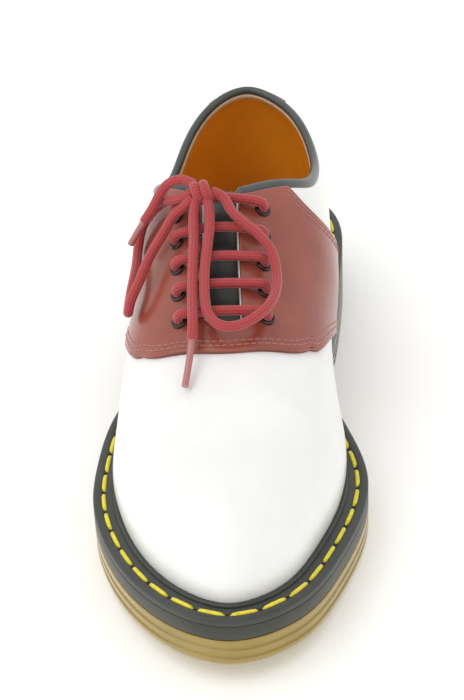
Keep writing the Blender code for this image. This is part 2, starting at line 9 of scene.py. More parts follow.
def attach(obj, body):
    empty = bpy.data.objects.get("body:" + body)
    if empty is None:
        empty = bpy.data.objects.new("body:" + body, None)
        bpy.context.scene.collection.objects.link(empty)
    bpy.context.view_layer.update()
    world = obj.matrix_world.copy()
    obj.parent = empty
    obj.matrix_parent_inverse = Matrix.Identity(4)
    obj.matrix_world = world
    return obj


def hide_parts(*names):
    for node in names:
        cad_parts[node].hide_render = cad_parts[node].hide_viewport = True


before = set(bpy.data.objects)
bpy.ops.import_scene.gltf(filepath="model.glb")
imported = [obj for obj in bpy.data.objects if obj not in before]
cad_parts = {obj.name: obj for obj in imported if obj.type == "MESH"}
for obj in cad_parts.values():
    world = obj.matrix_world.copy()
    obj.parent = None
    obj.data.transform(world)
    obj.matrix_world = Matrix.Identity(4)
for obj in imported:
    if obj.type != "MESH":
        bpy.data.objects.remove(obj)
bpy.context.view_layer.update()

scene = bpy.context.scene
scene.view_settings.view_transform = "Standard"

print("camera")
camera = dict(place=(0.05355, -0.65272, 0.50312), turn=(54.762, 2.142, 3.390), lens=100.9)
bpy.ops.object.camera_add(location=camera["place"], rotation=[math.radians(a) for a in camera["turn"]])
photoCamera = bpy.context.object
photoCamera.name = "photoCamera"
photoCamera.data.lens = camera["lens"]
photoCamera.data.sensor_width = 36
scene.camera = photoCamera

print("shape of the last")
# sizes in metres, the same as the solids
sole = dict(length=0.300, ball=0.1074, waist=0.077, heel=0.0825, outsole=0.0122, band=0.0068, welt=0.0032,
            heelLift=0.0100, toeSpring=0.0090, archRise=0.0035, shelf=0.0096, reach=0.0160,
            stitchInset=0.0042, groove=0.0008, rib=0.0006, lugDepth=0.0018, lugGap=0.0028, border=0.0085)
last = dict(toeBox=0.033, instep=0.076, ankle=0.040, collar=0.060, leather=0.0020, throatGap=0.0135,
            throatFromToe=0.1126, throatRound=0.0040, tongueWidth=0.0400, tongueThick=0.0020,
            tongueOverlap=0.0120, tongueRise=0.0040, tongueGap=0.0015, insole=0.0030)
clear = dict(touch=0.0003)

# half outline of the sole: share of the length, width it follows, medial share, lateral share
outlineRows = (
    (0.000, "ball", 0.045, 0.045), (0.018, "ball", 0.188, 0.106), (0.065, "ball", 0.316, 0.252),
    (0.140, "ball", 0.410, 0.383), (0.240, "ball", 0.490, 0.476), (0.330, "ball", 0.494, 0.490),
    (0.430, "ball", 0.408, 0.460), (0.520, "waist", 0.475, 0.545), (0.600, "waist", 0.490, 0.540),
    (0.690, "heel", 0.490, 0.498), (0.800, "heel", 0.508, 0.492), (0.890, "heel", 0.480, 0.462),
    (0.965, "heel", 0.312, 0.300), (1.000, "heel", 0.000, 0.000))
# top line: share of the length, height it follows, its share, sideways offset as a share of the ball
ridgeRows = (
    (0.127, "toeBox", 1.00, 0.030), (0.233, "instep", 0.55, 0.005), (0.367, "instep", 0.71, -0.018),
    (0.500, "instep", 0.94, -0.047), (0.600, "instep", 1.08, -0.057), (0.700, "instep", 1.08, -0.050),
    (0.800, "instep", 1.00, -0.028), (0.900, "instep", 0.94, -0.020))
# sections: share of the length, roundness, medial and lateral bulge as shares of the ball
sectionRows = (
    (0.00, 2.3, 0.012, 0.012), (0.12, 2.3, 0.016, 0.016), (0.24, 2.2, 0.026, 0.026),
    (0.36, 2.2, 0.045, 0.034), (0.46, 2.2, 0.112, 0.072), (0.56, 2.2, 0.145, 0.100),
    (0.68, 2.2, 0.095, 0.088), (0.80, 2.2, 0.056, 0.036), (0.90, 2.2, 0.030, 0.022),
    (1.00, 2.2, 0.026, 0.026))
# collar edge: share of the length, height it follows, medial share, lateral share
collarRows = (
    (0.555, "instep", 1.03, 1.03), (0.590, "instep", 0.98, 0.97), (0.640, "instep", 0.84, 0.80),
    (0.700, "ankle", 1.36, 1.20), (0.760, "ankle", 1.24, 0.98), (0.830, "ankle", 1.28, 1.05),
    (0.900, "collar", 0.94, 0.86), (0.960, "collar", 1.01, 1.01))


def smoothCurve(knots, values, at):
    # natural cubic curve through the knots
    knots, values = np.asarray(knots, float), np.asarray(values, float)
    step = np.diff(knots)
    rise = np.diff(values) / step
    rows, right = np.eye(len(knots)), np.zeros(len(knots))
    for k in range(1, len(knots) - 1):
        rows[k, k - 1:k + 2] = step[k - 1], 2 * (step[k - 1] + step[k]), step[k]
        right[k] = 6 * (rise[k] - rise[k - 1])
    bend = np.linalg.solve(rows, right)
    at = np.clip(at, knots[0], knots[-1])
    k = np.clip(np.searchsorted(knots, at) - 1, 0, len(knots) - 2)
    b = (at - knots[k]) / step[k]
    a = 1 - b
    curve = (a ** 3 - a) * bend[k] + (b ** 3 - b) * bend[k + 1]
    return a * values[k] + b * values[k + 1] + curve * step[k] ** 2 / 6


def lengthsAlong(path):
    return np.concatenate([[0], np.cumsum(np.linalg.norm(np.diff(path, axis=0), axis=1))])


def alongShare(y):
    return 0.5 + np.asarray(y) / sole["length"]


def tableCurve(rows, values, at):
    return smoothCurve([row[0] for row in rows], [values(row) for row in rows], at)


def easeStep(x):
    x = np.clip(x, 0, 1)
    return x * x * (3 - 2 * x)


def closedOutline(samples=960):
    medial = [(sole[w] * m, (a - 0.5) * sole["length"]) for a, w, m, _ in outlineRows]
    lateral = [(-sole[w] * l, (a - 0.5) * sole["length"]) for a, w, _, l in outlineRows[1:-1]]
    points = np.array(medial + lateral[::-1])
    looped = np.vstack([points[-4:], points, points[:5]])
    knots = np.concatenate([[0], np.cumsum(np.sqrt(np.linalg.norm(np.diff(looped, axis=0), axis=1)))])
    first, heel, end = knots[4], knots[3 + len(medial)], knots[4 + len(points)]
    half = samples // 2
    at = np.concatenate([np.linspace(first, heel, half + 1), np.linspace(heel, end, half + 1)[1:-1]])
    edge = np.column_stack([smoothCurve(knots, looped[:, 0], at), smoothCurve(knots, looped[:, 1], at)])
    return edge - (edge.min(axis=0) + edge.max(axis=0)) / 2


baseOutline = closedOutline()
outlineRun = np.roll(baseOutline, -1, axis=0) - np.roll(baseOutline, 1, axis=0)
baseOutward = np.column_stack([outlineRun[:, 1], -outlineRun[:, 0]])
baseOutward /= np.linalg.norm(baseOutward, axis=1)[:, None]


def halfLine(side, inset):
    points = baseOutline - baseOutward * inset
    half = len(points) // 2
    order = np.arange(half + 1) if side > 0 else -np.arange(half + 1)
    return points[order], baseOutward[order]


def halfEdge(side, share, inset):
    path, out = halfLine(side, inset)
    run = lengthsAlong(path)
    run /= run[-1]
    place = np.column_stack([np.interp(share, run, path[:, k]) for k in range(2)])
    return place, np.column_stack([np.interp(share, run, out[:, k]) for k in range(2)])


def soleRing(inset, stations=110):
    turn = (1 - np.cos(np.pi * np.arange(1, stations) / stations)) / 2
    sides = []
    for side in (1, -1):
        path, _ = halfLine(side, inset)
        y = path[0, 1] + turn * (path[-1, 1] - path[0, 1])
        sides.append(np.column_stack([np.interp(y, np.maximum.accumulate(path[:, 1]), path[:, 0]), y]))
    return np.vstack([path[:1], sides[0], path[-1:], sides[1][::-1]])


def springAt(y):
    start = 0.15 * sole["length"]
    return sole["toeSpring"] * np.clip((-np.asarray(y) - start) / (sole["length"] / 2 - start), 0, 1) ** 2


def heelRise(y):
    return sole["heelLift"] * easeStep((alongShare(y) - 0.45) / 0.30)


def groundAt(y):
    a = alongShare(y)
    return springAt(y) + sole["archRise"] * easeStep((a - 0.46) / 0.08) * easeStep((0.64 - a) / 0.02)


def outsoleTop(y):
    return sole["outsole"] + springAt(y) + 0.25 * heelRise(y)


def bandTop(y):
    return sole["outsole"] + sole["band"] + springAt(y) + heelRise(y)


def weltTop(y):
    return bandTop(y) + sole["welt"]


def spineY(y):
    soft = 0.035 * sole["length"]
    toe, heel = -0.30 * sole["length"], 0.22 * sole["length"]
    toePart = soft * np.log1p(np.exp((toe - y) / soft))
    heelPart = soft * np.log1p(np.exp((y - heel) / soft))
    return y + 0.60 * toePart - 0.38 * heelPart


def ridgeAt(y):
    a = alongShare(y)
    centre = tableCurve(ridgeRows, lambda row: row[3] * sole["ball"], a)
    return centre, tableCurve(ridgeRows, lambda row: last[row[1]] * row[2], a) + weltTop(y)


def ribPoints(side, share, up):
    # points of the last: share runs from toe to heel, up from the welt to the top line
    share, up = np.broadcast_arrays(np.asarray(share, float), np.asarray(up, float))
    flat, rise = share.ravel(), up.ravel()
    foot, out = halfEdge(side, flat, sole["shelf"])
    other, _ = halfEdge(-side, flat, sole["shelf"])
    endY = spineY((foot[:, 1] + other[:, 1]) / 2)
    endX, endZ = ridgeAt(endY)
    slope = (ridgeAt(endY + 0.001)[1] - ridgeAt(endY - 0.001)[1]) / 0.002
    power = 2 / tableCurve(sectionRows, lambda row: row[1], alongShare(endY))
    medial, lateral = (tableCurve(sectionRows, lambda row: row[k], alongShare(foot[:, 1])) for k in (2, 3))
    apart = easeStep(np.minimum(flat, 1 - flat) / 0.1)
    bulge = sole["ball"] * ((medial + lateral) / 2 + side * apart * (medial - lateral) / 2)
    turn = rise * np.pi / 2
    inward = 1 - np.clip(np.cos(turn), 0, 1) ** power
    upward = np.sin(turn) ** power
    swell = bulge * 6.75 * rise * (1 - rise) ** 2
    x = foot[:, 0] + (endX - foot[:, 0]) * inward + out[:, 0] * swell
    y = foot[:, 1] + (endY - foot[:, 1]) * inward + out[:, 1] * swell
    footZ = weltTop(foot[:, 1]) + clear["touch"]
    z = footZ + (endZ + slope * (y - endY) - footZ) * upward
    return np.column_stack([x, y, z]).reshape(share.shape + (3,))


def collarHeight(side, y):
    a = alongShare(y)
    medial, lateral = (tableCurve(collarRows, lambda row: last[row[1]] * row[k], a) for k in (2, 3))
    tilt = side * (medial - lateral) / 2 * easeStep((0.93 - a) / 0.07)
    return (medial + lateral) / 2 + tilt + weltTop(y)


throatY = last["throatFromToe"] - sole["length"] / 2


def firstCrossing(ups, value):
    below = np.flatnonzero(value < 0)
    if len(below) == 0 or below[0] == 0:
        return 1.0
    k = below[0]
    return ups[k - 1] + (ups[k] - ups[k - 1]) * value[k - 1] / (value[k - 1] - value[k])


def wholeRib(side, share):
    ups = np.linspace(0, 1, 181)
    return ups, ribPoints(side, np.full(ups.shape, share), ups)


def crossings(side, share):
    # where a rib meets the throat's edge and the collar's rim
    ups, points = wholeRib(side, share)
    past = (points[-1, 1] - throatY) / last["throatRound"]
    mouth = last["throatGap"] / 2 * np.clip(past, 0, 1) ** 0.5
    slot = abs(points[:, 0] - ridgeAt(points[-1, 1])[0]) - mouth
    rim = collarHeight(side, points[:, 1]) - points[:, 2]
    return (firstCrossing(ups, slot) if past > 0.01 else 1.0), firstCrossing(ups, rim)


def upAt(side, share, across):
    # place up a rib at a distance from the centre line
    ups, points = wholeRib(side, share)
    return firstCrossing(ups, abs(points[:, 0] - ridgeAt(points[-1, 1])[0]) - across)


def lastPoint(share, turn):
    return ribPoints(1 if turn > 0 else -1, share, 1 - abs(turn)).reshape(3)


def outAt(share, turn):
    step = 0.004
    lengthwise = lastPoint(share + step, turn) - lastPoint(share - step, turn)
    crosswise = lastPoint(share, turn + step) - lastPoint(share, turn - step)
    out = np.cross(crosswise, lengthwise)
    return out / np.linalg.norm(out)


def lifted(share, turn, lift):
    # point above the last: turn runs from -1 at the lateral welt by 0 on the top line to 1 at the medial welt
    return lastPoint(share, turn) + outAt(share, turn) * lift


def shareAt(y):
    share = np.linspace(0, 1, 201)
    middle = (halfEdge(1, share, sole["shelf"])[0][:, 1] + halfEdge(-1, share, sole["shelf"])[0][:, 1]) / 2
    return np.interp(y, spineY(middle), share)


def facingCorner(side):
    low, high = shareAt(throatY + last["throatRound"]), shareAt(0.2 * sole["length"])
    for _ in range(24):
        middle = (low + high) / 2
        slot, rim = crossings(side, middle)
        low, high = (middle, high) if slot < rim else (low, middle)
    return (low + high) / 2


cornerShare = {side: facingCorner(side) for side in (1, -1)}


def ribEnd(side, share):
    slot, rim = crossings(side, share)
    return slot if share < cornerShare[side] else rim


def spread(stops, counts):
    parts = [np.linspace(a, b, n, endpoint=False) for a, b, n in zip(stops, stops[1:], counts)]
    return np.concatenate(parts + [[stops[-1]]])


def rowUp(end, shareUp, lowRows=0.62):
    # rows of a rib lie closer at the welt than at its end
    return shareUp * (lowRows + (end - lowRows) * shareUp)


print("helpers")


def linked(name, mesh):
    piece = bpy.data.objects.new(name, mesh)
    bpy.context.collection.objects.link(piece)
    return piece


def newObject(name, shape, finishes, sharp=40):
    # a finished bmesh becomes one piece on the shoe's body
    mesh = bpy.data.meshes.new(name)
    shape.normal_update()
    shape.to_mesh(mesh)
    shape.free()
    for finish in finishes:
        mesh.materials.append(finish)
    mesh.shade_smooth()
    mesh.set_sharp_from_angle(angle=math.radians(sharp))
    piece = linked(name, mesh)
    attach(piece, "root")
    return piece


def pickOnly(piece):
    bpy.ops.object.select_all(action="DESELECT")
    piece.select_set(True)
    bpy.context.view_layer.objects.active = piece


def applyAll(piece):
    pickOnly(piece)
    for modifier in list(piece.modifiers):
        bpy.ops.object.modifier_apply(modifier=modifier.name)


def sheetOf(grids):
    # open sheet over grids of points, one for each side of the shoe
    shape = bmesh.new()
    for side, lines in grids:
        rows = [[shape.verts.new(point) for point in line] for line in lines]
        for a, b in zip(rows, rows[1:]):
            for k in range(len(a) - 1):
                corners = [a[k], b[k], b[k + 1], a[k + 1]]
                shape.faces.new(corners if side > 0 else corners[::-1])
    bmesh.ops.remove_doubles(shape, verts=shape.verts, dist=1e-6)
    shape.normal_update()
    return shape


def thicken(shape, inner, outer, innerSlot=0, edgeSlot=0, roundness=0.0):
    # closed wall between two distances from a sheet, its outer rim drawn in by the roundness
    wall = bmesh.new()
    shape.verts.index_update()
    inwards = {}
    for edge in shape.edges:
        if edge.is_boundary:
            face = edge.link_faces[0]
            push = face.normal.cross(edge.verts[1].co - edge.verts[0].co).normalized()
            if push.dot(face.calc_center_median() - edge.verts[0].co) < 0:
                push = -push
            for v in edge.verts:
                inwards[v.index] = inwards.get(v.index, Vector()) + push
    # rings of the rim: how far in from the edge and how far down from the outer face, in roundnesses
    steps = ((1.0, 0.0), (0.29, 0.29), (0.0, 1.0)) if roundness else ((0.0, 0.0),)
    low = [wall.verts.new(v.co + v.normal * inner) for v in shape.verts]
    high, rims = [], [{} for _ in steps]
    for v in shape.verts:
        if v.index in inwards:
            push = inwards[v.index].normalized() * roundness
            for ring, (inset, drop) in zip(rims, steps):
                ring[v.index] = wall.verts.new(v.co + v.normal * (outer - drop * roundness) + push * inset)
            high.append(rims[0][v.index])
        else:
            high.append(wall.verts.new(v.co + v.normal * outer))
    for face in shape.faces:
        order = [v.index for v in face.verts]
        wall.faces.new([high[k] for k in order])
        wall.faces.new([low[k] for k in reversed(order)]).material_index = innerSlot
    for edge in shape.edges:
        if edge.is_boundary:
            loop = edge.link_loops[0]
            a, b = loop.vert.index, loop.link_loop_next.vert.index
            chain = [(ring[a], ring[b]) for ring in rims] + [(low[a], low[b])]
            for n, ((upA, upB), (downA, downB)) in enumerate(zip(chain, chain[1:])):
                made = wall.faces.new([upB, upA, downA, downB])
                made.material_index = edgeSlot if n == len(chain) - 2 else 0
    shape.free()
    return wall


def stackOf(rings, closed=False):
    shape = bmesh.new()
    rows = [[shape.verts.new(point) for point in line] for line in rings]
    count = len(rows[0])
    for a, b in (zip(rows, rows[1:] + rows[:1]) if closed else zip(rows, rows[1:])):
        for k in range(count):
            n = (k + 1) % count
            shape.faces.new([a[k], a[n], b[n], b[k]])
    if not closed:
        half = count // 2
        for row, top in ((rows[0], False), (rows[-1], True)):
            for k in range(half):
                strip = [row[k], row[k + 1], row[-k - 1], row[-k]]
                strip = [v for n, v in enumerate(strip) if v not in strip[:n]]
                shape.faces.new(strip if top else strip[::-1])
    return shape


def levelRing(points, height):
    return np.column_stack([points, height(points[:, 1])])


def between(low, high, share):
    return lambda y: low(y) + (high(y) - low(y)) * share


def evenPoints(route, spacing):
    # evenly spaced points of a smooth curve through route points
    route = np.array(route)
    knots = lengthsAlong(route)
    samples = np.linspace(0, knots[-1], 600)
    fine = np.column_stack([smoothCurve(knots, route[:, k], samples) for k in range(3)])
    run = lengthsAlong(fine)
    at = np.linspace(0, run[-1], max(2, round(run[-1] / spacing) + 1))
    return np.column_stack([np.interp(at, run, fine[:, k]) for k in range(3)])


def tubeOf(path, radius, sides=18, taper=0.0):
    # round tube with its own flow map: U along the lace in turns of its thickness, V round it
    path = np.asarray(path)
    tangent = np.gradient(path, axis=0)
    tangent /= np.linalg.norm(tangent, axis=1)[:, None]
    side = np.cross(tangent[0], [0, 0, 1.0])
    if np.linalg.norm(side) < 0.1:
        side = np.cross(tangent[0], [1.0, 0, 0])
    run = lengthsAlong(path)
    shape = bmesh.new()
    flow = shape.loops.layers.uv.new("flow")
    rows = []
    for k, point in enumerate(path):
        side = side - tangent[k] * side.dot(tangent[k])
        side /= np.linalg.norm(side)
        over = np.cross(tangent[k], side)
        angle = 2 * np.pi * np.arange(sides) / sides
        wide = radius + (lace["thick"] / 2 - radius) * max(0, 1 - run[k] / taper) ** 2 if taper else radius
        rows.append([shape.verts.new(point + wide * (np.cos(a) * side + np.sin(a) * over)) for a in angle])
    for k in range(len(rows) - 1):
        for n in range(sides):
            m = (n + 1) % sides
            face = shape.faces.new([rows[k][n], rows[k][m], rows[k + 1][m], rows[k + 1][n]])
            spots = ((run[k], n), (run[k], n + 1), (run[k + 1], n + 1), (run[k + 1], n))
            for loop, (u, v) in zip(face.loops, spots):
                loop[flow].uv = (u / (2 * radius), v / sides)
    shape.faces.new(rows[0][::-1])
    shape.faces.new(rows[-1])
    return shape


def copyAlong(name, pattern, places, finishes, sharp=40):
    # joined copies of a small mesh at many places
    corners = np.array([v.co[:] for v in pattern.vertices])
    faces = [tuple(p.vertices) for p in pattern.polygons]
    shape = bmesh.new()
    for place in places:
        spin, spot = np.array(place)[:3, :3], np.array(place)[:3, 3]
        made = [shape.verts.new(point) for point in corners @ spin.T + spot]
        for face in faces:
            shape.faces.new([made[k] for k in face])
    return newObject(name, shape, finishes, sharp)


def standAt(point, forward, up):
    forward, up = Vector(forward).normalized(), Vector(up).normalized()
    side = up.cross(forward).normalized()
    up = forward.cross(side)
    turned = Matrix((forward, side, up)).transposed().to_4x4()
    turned.translation = Vector(point)
    return turned


print("materials")


def addNode(tree, kind, given=None, **settings):
    # a given socket is linked to the input of its name, a given number is set there
    node = tree.nodes.new(kind)
    for key, value in settings.items():
        setattr(node, key, value)
    for label, value in (given or {}).items():
        if isinstance(value, bpy.types.NodeSocket):
            tree.links.new(value, node.inputs[label])
        else:
            node.inputs[label].default_value = value
    return node


def mathNode(tree, operation, *values):
    return addNode(tree, "ShaderNodeMath", dict(enumerate(values)), operation=operation).outputs[0]


def noiseNode(tree, vector, scale, fineness=2.0):
    given = dict(Vector=vector, Scale=scale, Detail=fineness)
    return addNode(tree, "ShaderNodeTexNoise", given).outputs["Fac"]


def objectPlace(tree):
    return addNode(tree, "ShaderNodeTexCoord").outputs["Object"]


def startGroup(name, inputs, outputs):
    group = bpy.data.node_groups.new(name, "ShaderNodeTree")
    for label, value in inputs.items():
        socket = group.interface.new_socket(name=label, in_out="INPUT", socket_type="NodeSocketFloat")
        socket.default_value = value
    for label in outputs:
        group.interface.new_socket(name=label, in_out="OUTPUT", socket_type="NodeSocketFloat")
    return group, addNode(group, "NodeGroupInput").outputs


def grainGroup():
    # pebbled hide: Height for a bump, Mottle for slow colour changes
    group, given = startGroup("hideGrain", {"Scale": 900.0, "Mottle Scale": 40.0}, ["Height", "Mottle"])
    place = objectPlace(group)
    cells = addNode(group, "ShaderNodeTexVoronoi", dict(Vector=place, Scale=given["Scale"], Smoothness=0.6),
                    feature="SMOOTH_F1")
    fine = noiseNode(group, place, mathNode(group, "MULTIPLY", given["Scale"], 2.2), 5)
    height = mathNode(group, "MULTIPLY_ADD", fine, 0.55, cells.outputs["Distance"])
    mottle = noiseNode(group, place, given["Mottle Scale"], 3)
    addNode(group, "NodeGroupOutput", dict(Height=height, Mottle=mottle))
    return group


def braidGroup():
    # two families of crossing strands round a lace, read from its flow map
    group, given = startGroup("laceBraid", {"Strands": 5.0, "Pitch": 2.4}, ["Height"])
    flow = addNode(group, "ShaderNodeUVMap", uv_map="flow").outputs["UV"]
    parts = addNode(group, "ShaderNodeSeparateXYZ", {0: flow}).outputs
    across = mathNode(group, "MULTIPLY", parts["Y"], given["Strands"])
    lengthwise = mathNode(group, "MULTIPLY", parts["X"], given["Pitch"])
    waves = []
    for way in ("ADD", "SUBTRACT"):
        turned = mathNode(group, "MULTIPLY", mathNode(group, way, lengthwise, across), 2 * math.pi)
        waves.append(mathNode(group, "SINE", turned))
    weave = mathNode(group, "MULTIPLY", *waves)
    addNode(group, "NodeGroupOutput", dict(Height=mathNode(group, "MULTIPLY_ADD", weave, 0.5, 0.5)))
    return group


hideGrain = grainGroup()
laceBraid = braidGroup()


def newFinish(name, colour, roughness, **sockets):
    finish = bpy.data.materials.new(name)
    finish.use_nodes = True
    shader = finish.node_tree.nodes["Principled BSDF"]
    shader.inputs["Base Color"].default_value = (*colour, 1)
    shader.inputs["Roughness"].default_value = roughness
    for label, value in sockets.items():
        shader.inputs[label.replace("_", " ")].default_value = value
    return finish, finish.node_tree, shader


def colourFrom(tree, shader, factor, stops):
    ramp = addNode(tree, "ShaderNodeValToRGB", dict(Fac=factor))
    for k, (place, colour) in enumerate(stops):
        stop = ramp.color_ramp.elements[k] if k < 2 else ramp.color_ramp.elements.new(place)
        stop.position = place
        stop.color = (*colour, 1)
    tree.links.new(ramp.outputs["Color"], shader.inputs["Base Color"])


def bumpFrom(tree, shader, height, distance):
    bump = addNode(tree, "ShaderNodeBump", dict(Strength=1.0, Distance=distance, Height=height))
    tree.links.new(bump.outputs["Normal"], shader.inputs["Normal"])


def grainyFinish(name, low, high, roughness, grainScale, grainDepth, mottleScale=45.0, wear=None, **sockets):
    # wear is how far the roughness goes down and up with the mottle
    finish, tree, shader = newFinish(name, low, roughness, **sockets)
    grain = addNode(tree, "ShaderNodeGroup", {"Scale": grainScale, "Mottle Scale": mottleScale},
                    node_tree=hideGrain).outputs
    colourFrom(tree, shader, grain["Mottle"], [(0.30, low), (0.70, high)])
    bumpFrom(tree, shader, grain["Height"], grainDepth)
    if wear:
        worn = addNode(tree, "ShaderNodeMapRange", {"Value": grain["Mottle"], "To Min": roughness + wear[0],
                                                    "To Max": roughness + wear[1]})
        tree.links.new(worn.outputs["Result"], shader.inputs["Roughness"])
    return finish


def leatherFinish(*sizes, **sockets):
    return grainyFinish(*sizes, wear=(-0.05, 0.08), **sockets)


def rubberFinish(name, low, high, roughness):
    return grainyFinish(name, low, high, roughness, 1500, 0.00004, 60)


whiteLeather = leatherFinish("whiteLeather", (0.83, 0.83, 0.81), (0.88, 0.88, 0.865), 0.30, 700, 0.00006,
                             Coat_Weight=0.25, Coat_Roughness=0.12)
oxbloodLeather = leatherFinish("oxbloodLeather", (0.235, 0.046, 0.028), (0.320, 0.072, 0.042), 0.27,
                               800, 0.00007, Coat_Weight=0.35, Coat_Roughness=0.15)
oxbloodEdge = leatherFinish("oxbloodEdge", (0.16, 0.035, 0.028), (0.24, 0.065, 0.05), 0.55, 1500, 0.00006)
blackLeather = leatherFinish("blackLeather", (0.014, 0.016, 0.014), (0.026, 0.030, 0.027), 0.36,
                             900, 0.00007, Coat_Weight=0.15, Coat_Roughness=0.2)
bindingLeather = leatherFinish("bindingLeather", (0.040, 0.050, 0.046), (0.062, 0.076, 0.068), 0.33,
                               1300, 0.00006, Coat_Weight=0.2, Coat_Roughness=0.25)
tanLining = leatherFinish("tanLining", (0.74, 0.28, 0.010), (0.90, 0.39, 0.018), 0.50, 1100, 0.00005, 22.0)
tanFootbed = leatherFinish("tanFootbed", (0.40, 0.16, 0.018), (0.52, 0.22, 0.028), 0.45, 1000, 0.00005, 18.0)
paleEdge = leatherFinish("paleEdge", (0.52, 0.36, 0.22), (0.64, 0.48, 0.32), 0.6, 1500, 0.00005)
weltRubber = rubberFinish("weltRubber", (0.030, 0.034, 0.029), (0.042, 0.047, 0.040), 0.42)
bandRubber = rubberFinish("bandRubber", (0.024, 0.027, 0.018), (0.034, 0.037, 0.024), 0.40)


def amberFinish():
    # see-through amber at the toe that turns dark towards the heel
    finish, tree, shader = newFinish("amberSole", (0.35, 0.22, 0.05), 0.22, Coat_Weight=0.4,
                                     Coat_Roughness=0.1, Subsurface_Weight=0.25, Subsurface_Scale=0.004)
    place = objectPlace(tree)
    parts = addNode(tree, "ShaderNodeSeparateXYZ", {0: place}).outputs
    reach = {"Value": parts["Y"], "From Min": -0.06, "From Max": 0.06}
    lengthwise = addNode(tree, "ShaderNodeMapRange", reach)
    shade = mathNode(tree, "MULTIPLY_ADD", noiseNode(tree, place, 60), 0.25, lengthwise.outputs["Result"])
    colourFrom(tree, shader, shade, [(0.10, (0.34, 0.245, 0.042)), (0.80, (0.030, 0.027, 0.012)),
                                     (0.46, (0.17, 0.115, 0.020))])
    return finish


amberSole = amberFinish()


def threadFinish(name, colour):
    finish, tree, shader = newFinish(name, colour, 0.55, Sheen_Weight=0.2)
    noise = noiseNode(tree, objectPlace(tree), 900)
    colourFrom(tree, shader, noise, [(0.3, tuple(c * 0.75 for c in colour)), (0.7, colour)])
    bumpFrom(tree, shader, noise, 0.0001)
    return finish


yellowThread = threadFinish("yellowThread", (0.90, 0.76, 0.03))
pinkThread = threadFinish("pinkThread", (0.46, 0.20, 0.16))
# near-black finish of painted shade, put in the eyelet holes and in the welt's needle holes
paintedHoleShade = newFinish("paintedHoleShade", (0.006, 0.006, 0.006), 0.7)[0]


def laceFinish():
    finish, tree, shader = newFinish("oxbloodLace", (0.36, 0.030, 0.036), 0.6, Sheen_Weight=0.3,
                                     Sheen_Roughness=0.5)
    braid = addNode(tree, "ShaderNodeGroup", node_tree=laceBraid).outputs["Height"]
    colourFrom(tree, shader, braid, [(0.10, (0.26, 0.016, 0.020)), (0.70, (0.47, 0.038, 0.042))])
    bumpFrom(tree, shader, braid, 0.00018)
    return finish


oxbloodLace = laceFinish()
aglet = newFinish("clearAglet", (0.40, 0.135, 0.125), 0.15, Coat_Weight=0.6, Coat_Roughness=0.05)[0]
blackEnamel = newFinish("blackEnamel", (0.008, 0.008, 0.008), 0.16, Coat_Weight=0.3, Coat_Roughness=0.05)[0]
floorWhite = newFinish("floorWhite", (0.93, 0.93, 0.92), 0.7, Emission_Strength=0.17,
                       Emission_Color=(1, 0.97, 0.87, 1))[0]

print("bow")
lace = dict(thick=0.0040, knotPlace=(0.547, -0.070, 2.86), knotRadius=0.0026, knotTurns=1.7,
            agletLength=dict(lace_end_centre=0.0215, lace_end_lateral=0.0135), agletThick=0.0027,
            agletTaper=0.0022, step=0.0010, barStep=0.0008)
# share of the sole's edge, turn round the last, height above the last in lace thicknesses
bowRows = dict(
    lace_loop_medial=(
        (0.546, -0.030, 2.74), (0.541, 0.013, 2.60), (0.524, 0.056, 2.55), (0.509, 0.113, 2.62),
        (0.495, 0.174, 2.75), (0.476, 0.224, 2.68), (0.449, 0.244, 2.50), (0.419, 0.232, 2.62),
        (0.387, 0.172, 2.78), (0.369, 0.093, 2.50), (0.364, 0.014, 2.36), (0.377, -0.043, 2.34),
        (0.404, -0.067, 2.35), (0.440, -0.068, 2.34), (0.476, -0.056, 2.34), (0.503, -0.043, 2.40),
        (0.523, -0.042, 2.50), (0.539, -0.052, 2.70)),
    lace_loop_lateral=(
        (0.543, -0.122, 2.74), (0.536, -0.171, 2.58), (0.532, -0.225, 2.40), (0.518, -0.284, 2.24),
        (0.503, -0.340, 2.18), (0.488, -0.386, 2.12), (0.465, -0.431, 2.08), (0.450, -0.477, 1.94),
        (0.447, -0.523, 1.50), (0.471, -0.527, 1.55), (0.494, -0.522, 1.56), (0.532, -0.538, 1.28),
        (0.559, -0.539, 1.14), (0.570, -0.480, 1.41), (0.571, -0.406, 1.62), (0.565, -0.323, 1.90),
        (0.553, -0.237, 2.56), (0.547, -0.172, 2.76), (0.549, -0.120, 2.90)),
    lace_end_centre=(
        (0.543, -0.098, 2.76), (0.526, -0.118, 2.54), (0.500, -0.120, 2.44), (0.465, -0.120, 2.42),
        (0.429, -0.122, 2.42), (0.398, -0.122, 2.42), (0.366, -0.123, 2.30), (0.346, -0.137, 1.70),
        (0.321, -0.159, 1.10), (0.298, -0.182, 0.62)),
    lace_end_lateral=(
        (0.556, -0.108, 3.10), (0.564, -0.155, 3.42), (0.566, -0.208, 3.62), (0.563, -0.264, 3.38),
        (0.555, -0.319, 3.00), (0.546, -0.398, 2.80), (0.543, -0.491, 2.55)))


def bowRoute(name):
    return [lifted(share, turn, height * lace["thick"]) for share, turn, height in bowRows[name]]


